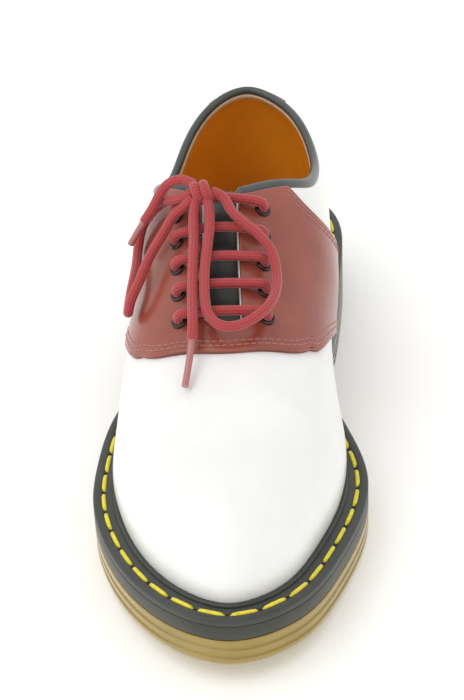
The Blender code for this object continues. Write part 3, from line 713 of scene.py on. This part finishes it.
def makeBow():
    share, turn, height = lace["knotPlace"]
    centre, beside = (Vector(lifted(share, turn + shift, height * lace["thick"])) for shift in (0, 0.02))
    axis = beside - centre
    turned = axis.to_track_quat("Z", "Y")
    coil = []
    for t in np.linspace(-0.5, 0.5, 80):
        angle = 2 * math.pi * lace["knotTurns"] * t
        across, over = lace["knotRadius"] * math.cos(angle), lace["knotRadius"] * math.sin(angle)
        coil.append(centre + turned @ Vector((across, over, t * lace["knotTurns"] * 0.90 * lace["thick"])))
    knot = newObject("laceKnot", tubeOf(np.array(coil), lace["thick"] / 2), [oxbloodLace])
    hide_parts("lace_knot")
    for name in bowRows:
        path = evenPoints(bowRoute(name), lace["step"])
        isLoop = "loop" in name
        if not isLoop:
            cut = -round(lace["agletLength"][name] / lace["step"])
            path, tip = path[:cut + 2], path[cut:]
        pieceName = {"lace_loop_medial": "laceLoopMedial", "lace_loop_lateral": "laceLoopLateral",
                     "lace_end_centre": "laceEndCentre", "lace_end_lateral": "laceEndLateral"}[name]
        strand = newObject(pieceName, tubeOf(path, lace["thick"] / 2), [oxbloodLace])
        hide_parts(name)
        riders = [knot] if pieceName == "laceLoopMedial" else []
        if not isLoop:
            sleeve = tubeOf(tip, lace["agletThick"] / 2, 20, lace["agletTaper"])
            sleeve = newObject(pieceName + "Aglet", sleeve, [aglet], 60)
            riders.append(sleeve)


makeBow()


print("eyelets and bars")
# lace bar from eyelet to middle: distance in from the eyelet and height above the last, in lace thicknesses
barRows = (
    (0.00, 0.25), (0.02, 0.75), (0.10, 1.20), (0.50, 1.58), (1.30, 1.48), (2.50, 1.26), (4.00, 1.18))
# dark and darkSides size the near-black disc of painted shade in each eyelet hole
eyelet = dict(width=0.0066, hole=0.0038, tall=0.0011, spread=0.0161, pitch=0.0116, start=0.0050, sides=32,
              foot=0.0012, dark=0.00196, darkSides=20)
overlay = dict(thick=0.0015, gap=0.0006, reach=0.995)
overlayTop = overlay["gap"] + overlay["thick"]


def eyeletPlace(side, number):
    share = shareAt(throatY + eyelet["start"] + eyelet["pitch"] * (number - 1))
    return share, side * (1 - upAt(side, share, eyelet["spread"]))


def modelRing():
    # a circle drawn out ring by ring: up the barrel, over the flange and back underneath
    bpy.ops.object.select_all(action="DESELECT")
    radius = eyelet["hole"] / 2
    bpy.ops.mesh.primitive_circle_add(vertices=eyelet["sides"], radius=radius, fill_type="NOTHING",
                                      location=(0, 0, -eyelet["foot"]))
    bpy.ops.object.transform_apply(location=True, rotation=False, scale=False)
    bpy.ops.object.mode_set(mode="EDIT")
    bpy.ops.mesh.select_all(action="SELECT")
    tall, wide = eyelet["tall"], eyelet["width"] / 2
    rows = ((radius, 0.55 * tall), (1.08 * radius, 0.86 * tall), (1.26 * radius, tall),
            (0.88 * wide, 0.92 * tall), (0.97 * wide, 0.55 * tall), (wide, -0.0001), (0.9 * wide, -0.0003),
            (1.1 * radius, -eyelet["foot"]))
    height = -eyelet["foot"]
    for nextRadius, nextHeight in rows:
        bpy.ops.mesh.extrude_region_move(TRANSFORM_OT_translate=dict(value=(0, 0, nextHeight - height)))
        bpy.ops.transform.resize(value=(nextRadius / radius, nextRadius / radius, 1))
        radius, height = nextRadius, nextHeight
    bpy.ops.mesh.select_all(action="SELECT")
    bpy.ops.mesh.normals_make_consistent(inside=False)
    bpy.ops.object.mode_set(mode="OBJECT")
    ring = bpy.context.object
    rounding = ring.modifiers.new("rounding", "SUBSURF")
    rounding.levels = rounding.render_levels = 1
    applyAll(ring)
    ring.data.shade_smooth()
    return ring


def standOn(share, turn, height):
    spot = lifted(share, turn, height)
    out = Vector(outAt(share, turn))
    forward = Vector(lastPoint(share - 0.004, turn) - lastPoint(share + 0.004, turn))
    return standAt(spot, forward - out * forward.dot(out), out)


def makeEyelets():
    ring = modelRing()
    holes = []
    for number in range(1, 6):
        for side, label in ((1, "medial"), (-1, "lateral")):
            place = standOn(*eyeletPlace(side, number), overlayTop + 0.0001)
            mesh = ring.data.copy()
            mesh.transform(place)
            mesh.materials.clear()
            mesh.materials.append(blackEnamel)
            piece = linked("eyeletRing_%s_%d" % (label, number), mesh)
            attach(piece, "root")
            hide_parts("eyelet_%s_%d" % (label, number))
            holes.append(place)
    bpy.data.objects.remove(ring, do_unlink=True)
    # a near-black disc in each eyelet hole is painted shade where the hole opens into the shoe
    disc = bpy.data.meshes.new("disc")
    n = eyelet["darkSides"]
    angles = 2 * np.pi * np.arange(n) / n
    corners = [(eyelet["dark"] * math.cos(a), eyelet["dark"] * math.sin(a), z)
               for z in (0.00005, -0.0010) for a in angles]
    walls = [(n + k, n + (k + 1) % n, (k + 1) % n, k) for k in range(n)]
    disc.from_pydata(corners, [], [tuple(range(n)), tuple(range(2 * n - 1, n - 1, -1))] + walls)
    dark = copyAlong("eyeletHoleShade", disc, holes, [paintedHoleShade])


def makeBars():
    for number in range(1, 6):
        route = []
        for side in (1, -1):
            share, _ = eyeletPlace(side, number)
            half = []
            for inward, height in barRows:
                across = eyelet["spread"] * (1 - inward / barRows[-1][0])
                turn = side * (1 - upAt(side, share, across)) if across > 0 else 0.0
                half.append(lifted(share, turn, height * lace["thick"]))
            route += half if side > 0 else half[-2::-1]
        bar = tubeOf(evenPoints(route, lace["barStep"]), lace["thick"] / 2, 20)
        bar = newObject("laceBar%d" % number, bar, [oxbloodLace])
        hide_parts("lace_bar_%d" % number)


makeEyelets()
makeBars()

print("sole")
# lug grooves: first and last as shares of the length, number of them
tread = dict(stations=200, sharp=35, zones=((0.10, 0.43, 11), (0.70, 0.95, 6)))


def soleRings(profile, low, high):
    # outlines of the sole, one for each share of the height and inset of a profile
    return [levelRing(soleRing(inset, tread["stations"]), between(low, high, share))
            for share, inset in profile]


def makeOutsole():
    rib = sole["rib"]
    profile = [(0.00, 0.0016), (0.03, 0.0010), (0.08, 0.0004), (0.16, 0.0001)]
    for low, high in ((0.26, 0.44), (0.60, 0.78)):
        profile += [(low, 0.0), (low + 0.02, 0.5 * rib), (low + 0.04, rib),
                    (high - 0.04, rib), (high - 0.02, 0.5 * rib), (high, 0.0)]
    profile += [(0.97, 0.0), (1.00, 0.0003)]
    rings = soleRings(profile, groundAt, outsoleTop)
    sides = newObject("outsoleRubber", stackOf(rings), [amberSole], tread["sharp"])
    cutter = bpy.data.meshes.new("lugCuts")
    shape = bmesh.new()
    path = {side: halfLine(side, sole["border"])[0] for side in (1, -1)}
    gap = sole["lugGap"]
    for first, final, count in tread["zones"]:
        for y in (np.linspace(first, final, count) - 0.5) * sole["length"]:
            x = {side: np.interp(y, path[side][:, 1], path[side][:, 0]) for side in path}
            for left, right in ((x[-1], -gap), (gap, x[1])):
                box = bmesh.ops.create_cube(shape, size=1.0)["verts"]
                bmesh.ops.scale(shape, vec=(right - left, gap, 2 * sole["lugDepth"]), verts=box)
                bmesh.ops.translate(shape, vec=((left + right) / 2, y, float(groundAt(y))), verts=box)
    shape.to_mesh(cutter)
    shape.free()
    cuts = linked("lugCuts", cutter)
    lugs = sides.modifiers.new("lugs", "BOOLEAN")
    lugs.operation, lugs.solver, lugs.object = "DIFFERENCE", "EXACT", cuts
    applyAll(sides)
    sides.data.set_sharp_from_angle(angle=math.radians(tread["sharp"]))
    bpy.data.objects.remove(cuts, do_unlink=True)
    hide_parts("outsole")


def makeBand():
    low = lambda y: outsoleTop(y) + 0.0001
    profile = ((0.00, 0.0007), (0.04, 0.0003), (0.12, 0.0), (0.90, 0.0), (0.97, 0.0001), (1.00, 0.0003))
    rings = soleRings(profile, low, bandTop)
    band = newObject("soleBand", stackOf(rings), [bandRubber], 50)
    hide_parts("midsole")


welt = dict(pitch=0.0124, threadLength=0.0104, thread=0.00088, bow=0.0006, bead=0.0011, beadInset=0.0086,
            beadSides=12, sunk=0.28, needle=0.00062)


def makeWelt():
    g, depth = sole["stitchInset"], sole["groove"]
    floor = 1 - welt["sunk"]
    profile = ((0.0, 0.0002), (0.15, 0.0), (floor, 0.0), (0.88, 0.0002), (1.0, 0.0007),
               (1.0, g - 1.7 * depth), (0.93, g - 1.1 * depth), (floor, g - 0.6 * depth), (floor, g + 0.6 * depth),
               (0.93, g + 1.1 * depth), (1.0, g + 1.7 * depth), (1.0, sole["reach"]), (0.0, sole["reach"]))
    low = lambda y: bandTop(y) + 0.0001
    strip = stackOf(soleRings(profile, low, weltTop), closed=True)
    strip = newObject("weltStrip", strip, [weltRubber], 50)
    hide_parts("welt")
    ring = soleRing(welt["beadInset"], tread["stations"])
    bead = []
    for k in range(welt["beadSides"]):
        angle = 2 * math.pi * k / welt["beadSides"]
        shift, rise = welt["bead"] * math.cos(angle), welt["bead"] * math.sin(angle) + 0.0003
        points = soleRing(welt["beadInset"] - shift, tread["stations"])
        bead.append(np.column_stack([points, weltTop(ring[:, 1]) + rise]))
    roll = newObject("weltBead", stackOf(bead, closed=True), [weltRubber], 70)


def modelThread(length, thick, dip, bow=0.0):
    # one stitch: a rod whose ends are drawn out, narrowed and turned down
    bpy.ops.object.select_all(action="DESELECT")
    bpy.ops.mesh.primitive_cylinder_add(vertices=8, radius=thick, depth=length * 0.5,
                                        rotation=(0, math.pi / 2, 0))
    bpy.ops.object.transform_apply(location=True, rotation=True, scale=False)
    rod = bpy.context.object
    for way in (1, -1):
        bpy.ops.object.mode_set(mode="OBJECT")
        for item in list(rod.data.vertices) + list(rod.data.edges):
            item.select = False
        for face in rod.data.polygons:
            face.select = face.normal.x * way > 0.9
        bpy.ops.object.mode_set(mode="EDIT")
        bpy.ops.mesh.select_mode(type="FACE")
        for run, drop, shrink in ((0.16, 0.18, 0.92), (0.09, 0.82, 0.62)):
            bpy.ops.mesh.extrude_region_move(
                TRANSFORM_OT_translate=dict(value=(way * run * length, drop * bow, -drop * dip)))
            bpy.ops.transform.resize(value=(1, shrink, shrink))
    bpy.ops.object.mode_set(mode="OBJECT")
    mesh = rod.data.copy()
    bpy.data.objects.remove(rod, do_unlink=True)
    return mesh


def makeWeltThread():
    ring = closedOutline() - baseOutward * sole["stitchInset"]
    looped = np.vstack([ring, ring[:1]])
    run = lengthsAlong(looped)
    count = round(run[-1] / welt["pitch"])
    stitches, holes = [], []
    for k in range(count):
        middle, ahead = ((k + 0.5) * run[-1] / count, 0.001)
        spots = [np.array([np.interp(at % run[-1], run, looped[:, n]) for n in range(2)])
                 for at in (middle - ahead, middle, middle + ahead, middle + 0.5 * run[-1] / count)]
        forward = np.append(spots[2] - spots[0], float(weltTop(spots[2][1]) - weltTop(spots[0][1])))
        for spot, lift, made in ((spots[1], welt["thread"] * 0.72, stitches), (spots[3], 0.00006, holes)):
            height = float(weltTop(spot[1])) - welt["sunk"] * sole["welt"] + lift
            made.append(standAt((*spot, height), forward, (0, 0, 1)))
    pattern = modelThread(welt["threadLength"], welt["thread"], 0.0011, welt["bow"])
    thread = copyAlong("weltThread", pattern, stitches, [yellowThread], 60)
    # small near-black discs between the stitches in the welt groove are painted shade of the needle holes
    bpy.ops.object.select_all(action="DESELECT")
    bpy.ops.mesh.primitive_cylinder_add(vertices=10, radius=welt["needle"], depth=0.0001)
    pit = bpy.context.object
    mesh = pit.data.copy()
    bpy.data.objects.remove(pit, do_unlink=True)
    pits = copyAlong("needleHoleShade", mesh, holes, [paintedHoleShade])


makeOutsole()
makeBand()
makeWelt()
makeWeltThread()

print("upper")
detail = dict(rows=48, collarDip=0.70)


def denseStations(side, counts=(60, 4, 5, 6, 34, 36, 50)):
    stops = [0, shareAt(throatY)] + [shareAt(throatY + last["throatRound"] * k) for k in (0.12, 0.45, 1.0)]
    return spread(stops + [cornerShare[side], detail["collarDip"], 1], counts)


stationList = {side: denseStations(side) for side in (1, -1)}
endList = {side: np.array([ribEnd(side, share) for share in stationList[side]]) for side in (1, -1)}


def endsAt(side, shares):
    return np.interp(shares, stationList[side], endList[side])


# creases placed across the vamp: start and end as share and turn, width and depth in metres
creaseRows = (
    (0.300, 0.50, 0.312, 0.16, 0.0022, 0.0004),
    (0.292, -0.46, 0.306, -0.14, 0.0022, 0.0004),
    (0.262, 0.44, 0.270, 0.12, 0.0026, 0.0003))


def pressCreases(piece, rows):
    # soft grooves with a low swell beside them, along lines on the last
    places = np.array([v.co[:] for v in piece.data.vertices])
    normals = np.array([v.normal[:] for v in piece.data.vertices])
    shift = np.zeros(len(places))
    for shareA, turnA, shareB, turnB, width, depth in rows:
        line = np.array([lastPoint(shareA + (shareB - shareA) * t, turnA + (turnB - turnA) * t)
                         for t in np.linspace(0, 1, 24)])
        fade = np.sin(np.pi * np.linspace(0, 1, 24)) ** 0.7
        apart = np.linalg.norm(places[:, None, :] - line[None], axis=2)
        nearest = apart.argmin(axis=1)
        distance = apart.min(axis=1) / width
        shift -= depth * fade[nearest] * np.exp(-distance ** 2) * (1 - 0.5 * distance ** 2)
    for v, point in zip(piece.data.vertices, places + normals * shift[:, None]):
        v.co = point


def makeUpper():
    shareUp = np.linspace(0, 1, detail["rows"] + 1)
    grids = []
    for side in (1, -1):
        lines = [ribPoints(side, np.full(shareUp.shape, share), rowUp(end, shareUp))
                 for share, end in zip(stationList[side], endList[side])]
        grids.append((side, lines))
    wall = thicken(sheetOf(grids), -last["leather"], 0.0, innerSlot=1, edgeSlot=2, roundness=0.0005)
    shell = newObject("upperShell", wall, [whiteLeather, tanLining, paleEdge], 50)
    pressCreases(shell, creaseRows)
    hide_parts("upper")


def makeTongue():
    middle = sum(halfEdge(side, np.array([cornerShare[1]]), sole["shelf"])[0][0, 1] for side in (1, -1)) / 2
    first, final = throatY - last["tongueOverlap"], spineY(middle) + last["tongueRise"]
    grids = []
    for side in (1, -1):
        lines = []
        for share in shareAt(np.linspace(first, final, 60)):
            start = upAt(side, share, last["tongueWidth"] / 2)
            up = start + (1 - start) * np.linspace(0, 1, 18)
            lines.append(ribPoints(side, np.full(up.shape, share), up))
        grids.append((side, lines))
    top = -last["leather"] - last["tongueGap"]
    wall = thicken(sheetOf(grids), top - last["tongueThick"], top, roundness=0.0006)
    tongue = newObject("tonguePad", wall, [blackLeather], 50)
    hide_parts("tongue")


def makeFootbed():
    inner, outer = sole["reach"] + clear["touch"], sole["shelf"] + last["leather"] + 2 * clear["touch"]
    low = lambda y: bandTop(y) + clear["touch"]
    floor = lambda y: weltTop(y) + clear["touch"]
    top = lambda y: weltTop(y) + last["insole"]
    bed = [levelRing(soleRing(inner, 120), low), levelRing(soleRing(inner, 120), floor),
           levelRing(soleRing(outer, 120), floor), levelRing(soleRing(outer, 120), between(floor, top, 0.6)),
           levelRing(soleRing(outer + 0.0004, 120), between(floor, top, 0.86)),
           levelRing(soleRing(outer + 0.0015, 120), top)]
    footbed = newObject("footbed", stackOf(bed), [tanFootbed], 50)
    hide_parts("insole")


makeUpper()
makeTongue()
makeFootbed()

print("overlays")
# saddle: share of the way up, front edge, rear edge as shares of the sole's edge from the toe
saddleRows = (
    (1.00, 0.345, 0.603), (0.85, 0.353, 0.597), (0.70, 0.366, 0.600), (0.62, 0.382, 0.608),
    (0.56, 0.400, 0.616), (0.50, 0.423, 0.627), (0.42, 0.453, 0.644), (0.30, 0.494, 0.675),
    (0.15, 0.527, 0.714), (0.00, 0.548, 0.745))
# heel tab: share of the way up, half width as a share of the sole's edge
tabRows = ((1.00, 0.078), (0.80, 0.066), (0.60, 0.056), (0.48, 0.046), (0.40, 0.030), (0.36, 0.006))
seam = dict(pitch=0.0028, threadLength=0.0024, thread=0.00026, rows=(0.0026, 0.0046))


def saddleEdges(shareUp):
    # the row mirrored past the top keeps both edges level at the centre line
    rows = saddleRows[::-1] + ((2 - saddleRows[1][0], *saddleRows[1][1:]),)
    return tuple(tableCurve(rows, lambda row: row[k], shareUp) for k in (1, 2))


def tabHalf(shareUp):
    return np.interp(shareUp, [row[0] for row in tabRows][::-1], [row[1] for row in tabRows][::-1])


def overlayUps(side, shares, shareUp):
    ends = endsAt(side, shares)
    reach = np.where(ends > 0.999, shareUp, np.minimum(shareUp, overlay["reach"]))
    return rowUp(ends, reach)


def makeSaddle():
    shareUp = np.linspace(0, 1, detail["rows"] + 1)
    front, rear = saddleEdges(shareUp)
    grids = []
    for side in (1, -1):
        stops = [front[-1]] + [shareAt(throatY + last["throatRound"] * k) for k in (0, 0.12, 0.45, 1.0)]
        places = spread(stops + [cornerShare[side], rear[-1]], (8, 4, 6, 8, 34, 20))
        lines = []
        for c in (places - front[-1]) / (rear[-1] - front[-1]):
            shares = front + (rear - front) * c
            lines.append(ribPoints(side, shares, overlayUps(side, shares, shareUp)))
        grids.append((side, lines))
    wall = thicken(sheetOf(grids), 0.0001, overlayTop, edgeSlot=1, roundness=0.0006)
    saddle = newObject("saddleLeather", wall, [oxbloodLeather, oxbloodEdge], 50)
    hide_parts("saddle")


def makeHeelTab():
    shareUp = np.linspace(tabRows[-1][0], 1, 40)
    half = tabHalf(shareUp)
    grids = []
    for side in (1, -1):
        lines = []
        for c in np.linspace(1, 0, 24):
            shares = 1 - half * c
            lines.append(ribPoints(side, shares, overlayUps(side, shares, shareUp)))
        grids.append((side, lines))
    wall = thicken(sheetOf(grids), 0.0001, overlayTop, edgeSlot=1, roundness=0.0006)
    tab = newObject("heelTabLeather", wall, [oxbloodLeather, oxbloodEdge], 50)
    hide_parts("heel_tab")


def slideOn(share, turn, shift):
    # moves a place on the last along its surface
    step = 0.003
    target = lastPoint(share, turn) + shift
    for _ in range(2):
        here = lastPoint(share, turn)
        nearby = lastPoint(share + step, turn), lastPoint(share, turn - step)
        slopes = np.column_stack([near - here for near in nearby]) / step
        move = np.linalg.lstsq(slopes, target - here, rcond=None)[0]
        share = min(max(share + move[0], 0.01), 0.99)
        turn = min(max(turn - move[1], -0.985), 0.985)
    return share, turn


def edgeRow(side, edgeShare, inset, ups):
    # points on an overlay at a distance in from its edge, top to welt, with the outward direction there
    shares = np.array([float(edgeShare(t)) for t in ups])
    turns = side * (1 - overlayUps(side, shares, ups))
    edge = np.array([lastPoint(share, turn) for share, turn in zip(shares, turns)])
    runs = np.gradient(edge, axis=0)
    places, sign = [], 0
    for share, turn, run in zip(shares, turns, runs):
        square = np.cross(outAt(share, turn), run / np.linalg.norm(run))
        sign = sign or np.sign(square.dot(lastPoint(share + 0.002, turn) - lastPoint(share, turn)))
        share, turn = slideOn(share, turn, square * sign * inset)
        out = outAt(share, turn)
        places.append((lastPoint(share, turn) + out * overlayTop, out))
    return places


def sewAlong(name, rowPoints, finish, pitch, pattern, closed=False):
    places = []
    for row in rowPoints:
        points = np.array([p for p, _ in row])
        outs = np.array([o for _, o in row])
        run = lengthsAlong(points)
        count = max(1, int(run[-1] / pitch))
        for k in range(count):
            at = (k + 0.5) * run[-1] / count
            spot, nearby, out = (np.array([np.interp(where, run, values[:, n]) for n in range(3)])
                                 for where, values in ((at, points), (at + 0.0004, points), (at, outs)))
            if np.linalg.norm(nearby - spot) > 1e-6:
                places.append(standAt(spot + out * 0.00005, nearby - spot, out))
    thread = copyAlong(name, pattern, places, [finish], 60)


def makeSeams():
    pattern = modelThread(seam["threadLength"], seam["thread"], 0.0005)
    ups = np.linspace(1.0, 0.03, 90)
    rows = []
    for inset in seam["rows"]:
        front = lambda t: saddleEdges(np.array([t]))[0][0]
        rear = lambda t: saddleEdges(np.array([t]))[1][0]
        medial, lateral = (edgeRow(side, front, inset, ups) for side in (1, -1))
        rows.append(medial[::-1] + lateral)
        for side in (1, -1):
            rows.append(edgeRow(side, rear, -inset, np.linspace(0.985, 0.03, 80)))
    sewAlong("saddleThread", rows, pinkThread, seam["pitch"], pattern)
    rows = [edgeRow(side, lambda t: 1 - tabHalf(t), seam["rows"][0], np.linspace(0.975, 0.42, 50))
            for side in (1, -1)]
    sewAlong("heelTabThread", rows, pinkThread, seam["pitch"], pattern)


makeSaddle()
makeHeelTab()
makeSeams()

print("collar")
roll = dict(thick=0.0037, tall=0.0050, rise=0.0019, sides=20,
            edgeThick=0.0016, edgeTall=0.0034, edgeIn=0.0009, edgeRise=0.0004, edgeSides=12)


def collarLine():
    rim, out = [], []
    for side in (1, -1):
        shares = spread([cornerShare[side], detail["collarDip"], 1], (60, 90))
        turns = [side * (1 - ribEnd(side, share)) for share in shares]
        edge = [lastPoint(share, turn) for share, turn in zip(shares, turns)]
        away = [outAt(share, turn) for share, turn in zip(shares, turns)]
        rim += edge if side > 0 else edge[-2::-1]
        out += away if side > 0 else away[-2::-1]
    rim, out = np.array(rim), np.array(out)
    upward = np.cross(out, np.gradient(rim, axis=0))
    upward /= np.linalg.norm(upward, axis=1)[:, None]
    return rim, out, upward


def ovalAlong(centre, across, up, wide, tall, sides):
    # closed oval roll along a line, its ends rounded off
    run = lengthsAlong(centre)
    rings = []
    for k, point in enumerate(centre):
        near = min(run[k], run[-1] - run[k]) / tall
        size = math.sqrt(max(1 - (1 - min(near, 1)) ** 2, 0.02))
        angles = 2 * np.pi * np.arange(sides) / sides
        rings.append([point + size * (wide * math.cos(a) * across[k] + tall * math.sin(a) * up[k])
                      for a in angles])
    return stackOf(rings)


def makeCollar():
    rim, out, upward = collarLine()
    centre = rim - out * last["leather"] / 2 + upward * roll["rise"]
    oval = ovalAlong(centre, -out, upward, roll["thick"] / 2, roll["tall"] / 2, roll["sides"])
    binding = newObject("bindingRoll", oval, [bindingLeather], 70)
    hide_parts("collar_binding")
    inside = rim - out * (last["leather"] + roll["edgeIn"]) + upward * roll["edgeRise"]
    oval = ovalAlong(inside, -out, upward, roll["edgeThick"] / 2, roll["edgeTall"] / 2, roll["edgeSides"])
    edge = newObject("liningEdge", oval, [paleEdge], 70)


makeCollar()

print("floor and light")
studio = dict(world=0.95, floor=3.0, key=9.0, keySize=1.6, keyPlace=(-0.9, -0.5, 1.5))


def makeStudio():
    bpy.ops.object.select_all(action="DESELECT")
    bpy.ops.mesh.primitive_plane_add(size=studio["floor"], location=(0, 0, 0))
    floor = bpy.context.object
    floor.name = "studioFloor"
    floor.data.materials.append(floorWhite)
    world = bpy.data.worlds.new("studioWorld")
    world.use_nodes = True
    world.node_tree.nodes["Background"].inputs["Color"].default_value = (1, 1, 1, 1)
    world.node_tree.nodes["Background"].inputs["Strength"].default_value = studio["world"]
    scene.world = world
    bpy.ops.object.light_add(type="AREA", location=studio["keyPlace"])
    key = bpy.context.object
    key.name = "softKey"
    key.data.size = studio["keySize"]
    key.data.energy = studio["key"]
    key.rotation_euler = (-Vector(studio["keyPlace"])).to_track_quat("-Z", "Y").to_euler()


makeStudio()
